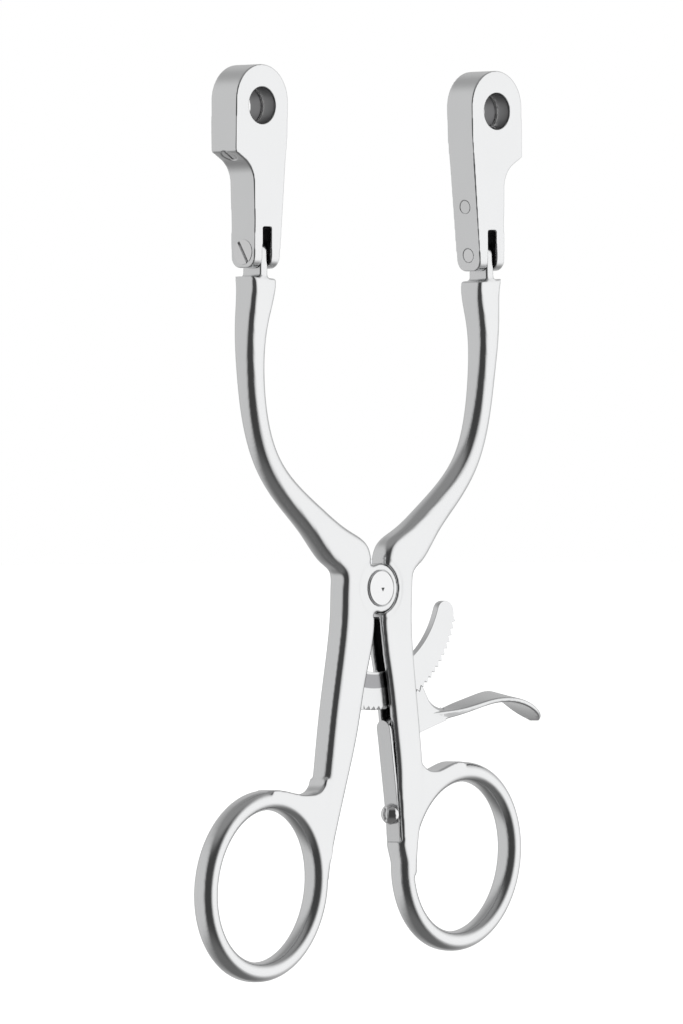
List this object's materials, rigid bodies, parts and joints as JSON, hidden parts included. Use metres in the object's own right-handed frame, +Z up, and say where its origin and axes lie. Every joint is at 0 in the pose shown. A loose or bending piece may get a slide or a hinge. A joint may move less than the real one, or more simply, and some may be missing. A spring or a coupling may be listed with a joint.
{
  "type": "cheek retractor",
  "caption": "Self-retaining ring-handled retractor: hinged levers with a ratchet and thumb release, and a swivelling blade socket on each arm.",
  "frame": {"origin": "middle of the underside of the bounding box, below the finger rings, in the middle of the thickness", "axes": "+Z up along the arms from the finger rings to the blade sockets, +X from the left lever to the right one, +Y from the front face to the back"},
  "size_m": [0.1016, 0.008, 0.1892],
  "materials": {
    "lever_steel": "satin, bead-blasted stainless steel",
    "holder_steel": "satin stainless steel",
    "ratchet_steel": "satin stainless steel",
    "spring_steel": "smooth spring steel",
    "screw_steel": "polished stainless steel",
    "pin_steel": "turned stainless steel",
    "ball_steel": "polished hardened steel"
  },
  "bodies": {
    "left_lever": {"left_lever": "lever_steel", "ratchet_bar": "ratchet_steel", "ratchet_rivets": "pin_steel", "pivot_screw": "screw_steel"},
    "right_lever": {"right_lever": "lever_steel", "release_pin": "pin_steel", "leaf_spring": "spring_steel", "leaf_spring_screw": "screw_steel"},
    "release_lever": {"release_lever": "ratchet_steel"},
    "left_blade_holder": {"left_blade_holder": "holder_steel", "left_hinge_screw": "screw_steel", "left_detent_screw": "screw_steel", "left_detent_spring": "spring_steel", "left_cross_pin": "pin_steel"},
    "right_blade_holder": {"right_blade_holder": "holder_steel", "right_hinge_screw": "screw_steel", "right_detent_screw": "screw_steel", "right_detent_spring": "spring_steel", "right_cross_pin": "pin_steel"},
    "left_detent_ball": {"left_detent_ball": "ball_steel"},
    "right_detent_ball": {"right_detent_ball": "ball_steel"}
  },
  "joints": [
    {"name": "lever_pivot", "type": "hinge", "parent": "left_lever", "child": "right_lever", "pos_m": [0.00111, 0, 0.08088], "axis": [0, 1, 0], "range_deg": [-28, 14]},
    {"name": "release_hinge", "type": "hinge", "parent": "right_lever", "child": "release_lever", "pos_m": [0.00861, 0, 0.05407], "axis": [0, 1, 0], "range_deg": [0, 8], "stiffness_Nm_per_rad": 0.6, "springref_deg": -5.73, "deforming": ["leaf_spring"]},
    {"name": "left_holder_hinge", "type": "hinge", "parent": "left_lever", "child": "left_blade_holder", "pos_m": [-0.03278, 0, 0.15047], "axis": [0.9998, 0, -0.0209], "range_deg": [-75, 75]},
    {"name": "right_holder_hinge", "type": "hinge", "parent": "right_lever", "child": "right_blade_holder", "pos_m": [0.035, 0, 0.15047], "axis": [0.9998, 0, 0.0209], "range_deg": [-75, 75]},
    {"name": "left_detent_slide", "type": "slide", "parent": "left_blade_holder", "child": "left_detent_ball", "axis": [0.5099, 0, 0.8602], "range_m": [0, 0.00035], "stiffness_N_per_m": 2000, "springref_m": 0.0008},
    {"name": "right_detent_slide", "type": "slide", "parent": "right_blade_holder", "child": "right_detent_ball", "axis": [-0.5099, 0, 0.8602], "range_m": [0, 0.00035], "stiffness_N_per_m": 2000, "springref_m": 0.0008}
  ]
}
